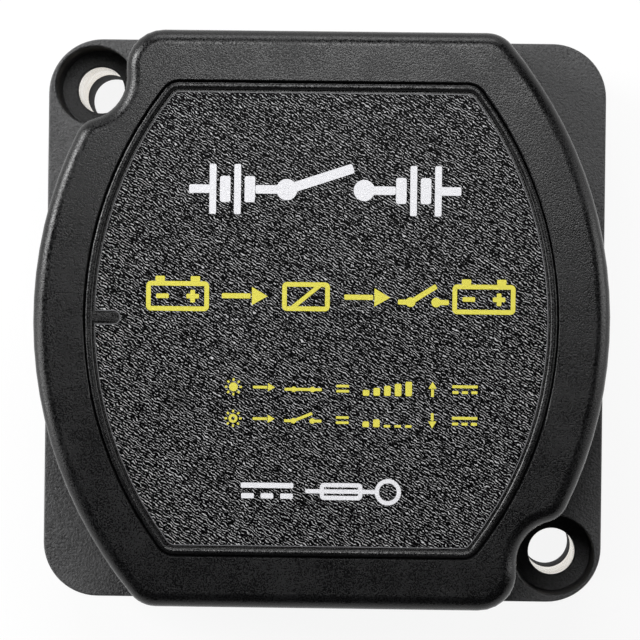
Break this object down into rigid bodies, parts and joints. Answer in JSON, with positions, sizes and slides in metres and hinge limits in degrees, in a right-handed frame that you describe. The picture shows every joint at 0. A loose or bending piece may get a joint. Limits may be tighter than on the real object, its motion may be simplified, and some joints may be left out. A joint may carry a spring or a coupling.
{
  "type": "battery isolator relay",
  "caption": "Square voltage sensing battery isolator relay: bulged front with a label, diagonal mounting holes, studs in rear bays and a plunger contactor inside.",
  "frame": {"origin": "centre of the square rear mounting face", "axes": "+Z out of the panel through the label, +Y to the top of the label, +X to its right"},
  "size_m": [0.068, 0.068, 0.05],
  "materials": {
    "housing_plastic": "fine moulded texture, black",
    "panel_plastic": "satin moulded, black",
    "label_film": "grained black film with white and yellow marks",
    "zinc_steel": "zinc plated",
    "iron": "plated soft iron",
    "copper": "bare copper, machined",
    "brass": "bare brass, machined",
    "contact_silver": "silver alloy, dull",
    "spring_steel": "drawn wire",
    "gland_rubber": "soft black rubber",
    "bobbin_plastic": "natural glass filled",
    "winding": "lacquered copper wire",
    "insulator": "red brown phenolic",
    "board": "green solder resist",
    "package": "black moulded package",
    "can_sleeve": "shrunk sleeve",
    "varistor_coat": "dipped coating",
    "ceramic_body": "fired body with tinned ends",
    "lamp_red": "tinted clear moulding",
    "clear_plastic": "clear moulded rod",
    "tinned": "tinned brass"
  },
  "bodies": {
    "housing": {"front_cover": "housing_plastic", "front_panel": "panel_plastic", "label": "label_film", "main_housing": "housing_plastic", "rear_frame": "housing_plastic", "mounting_sleeves": "zinc_steel", "earth_gland": "gland_rubber", "case_screws": "zinc_steel", "frame_screws": "zinc_steel", "stud_left": "copper", "stud_right": "copper", "clamp_nuts": "brass", "flat_washers": "brass", "spring_washers": "spring_steel", "terminal_nuts": "brass", "sensing_tags": "tinned", "fixed_tips": "contact_silver", "yoke": "iron", "yoke_screws": "zinc_steel", "pole_plate": "iron", "pole_piece": "iron", "guide_tube": "brass", "bobbin": "bobbin_plastic", "coil_winding": "winding", "coil_pins": "tinned", "return_spring": "spring_steel", "circuit_board": "board", "control_chip": "package", "coil_driver": "package", "voltage_regulator": "package", "flyback_diode": "package", "smoothing_capacitor": "can_sleeve", "surge_varistor": "varistor_coat", "resistors": "package", "ceramic_capacitors": "ceramic_body", "indicator_lamp": "lamp_red", "light_pipe": "clear_plastic", "earth_tab": "tinned"},
    "plunger_set": {"plunger": "iron", "plunger_rod": "zinc_steel", "spring_collar": "zinc_steel", "retaining_clip": "spring_steel", "contact_spring": "spring_steel"},
    "bridge_set": {"contact_bridge": "copper", "moving_tips": "contact_silver", "insulating_bush": "insulator", "insulating_disc": "insulator"}
  },
  "joints": [
    {"name": "plunger_slide", "type": "slide", "parent": "housing", "child": "plunger_set", "axis": [0, 0, -1], "range_m": [0, 0.002], "stiffness_N_per_m": 500, "springref_m": -0.005, "deforming": ["return_spring"]},
    {"name": "bridge_slide", "type": "slide", "parent": "plunger_set", "child": "bridge_set", "axis": [0, 0, 1], "range_m": [0, 0.0006], "stiffness_N_per_m": 2500, "springref_m": -0.0012, "deforming": ["contact_spring"]}
  ]
}
